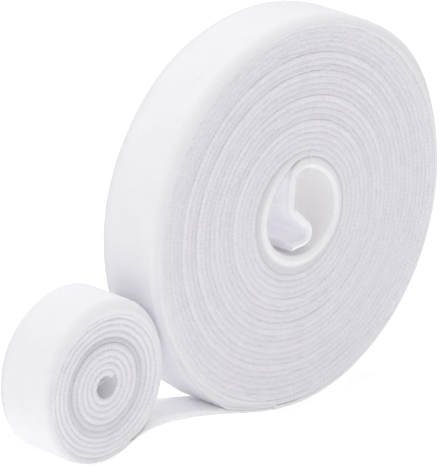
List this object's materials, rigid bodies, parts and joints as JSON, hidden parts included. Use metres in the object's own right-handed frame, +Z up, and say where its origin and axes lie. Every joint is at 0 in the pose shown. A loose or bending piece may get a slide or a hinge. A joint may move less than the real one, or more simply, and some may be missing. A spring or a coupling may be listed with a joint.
{
  "type": "hook and loop tape roll",
  "caption": "Coreless roll of white back-to-back hook and loop tape: a large coil on its edge, a short arched lead and a small coil wound from the free end.",
  "frame": {"origin": "on the floor that the roll stands on, under the middle of its bounding box", "axes": "+Z up, +X along the lead from the small coil to the large coil, +Y along the coils' axes, away from the front"},
  "size_m": [0.1566, 0.0214, 0.1167],
  "materials": {
    "loop_pile": "soft brushed nylon loops, matt",
    "hook_web": "white nylon web with rows of fine hooks, matt"
  },
  "bodies": {
    "large_coil": {"large_coil": "loop_pile", "innermost_turn": "hook_web"},
    "tail": {"inner_tail": "hook_web"},
    "lead": {"lead_strip": "hook_web"},
    "small_coil": {"small_coil": "loop_pile"}
  },
  "joints": [
    {"name": "wind_on", "type": "hinge", "parent": "large_coil", "child": "lead", "pos_m": [0.01963, 0.0007, 0.0587], "axis": [0, 1, 0], "range_deg": [0, 75]},
    {"name": "small_coil_turn", "type": "hinge", "parent": "lead", "child": "small_coil", "pos_m": [-0.05507, 0.0007, 0.02278], "axis": [0, 1, 0], "range_deg": [-195, 0]},
    {"name": "tail_flex", "type": "hinge", "parent": "large_coil", "child": "tail", "pos_m": [0.02093, 0.0007, 0.07394], "axis": [0, 1, 0], "range_deg": [-10, 10], "stiffness_Nm_per_rad": 0.004}
  ],
  "couplings": [
    {"joint": "small_coil_turn", "follows": "wind_on", "ratio": -2.593}
  ]
}
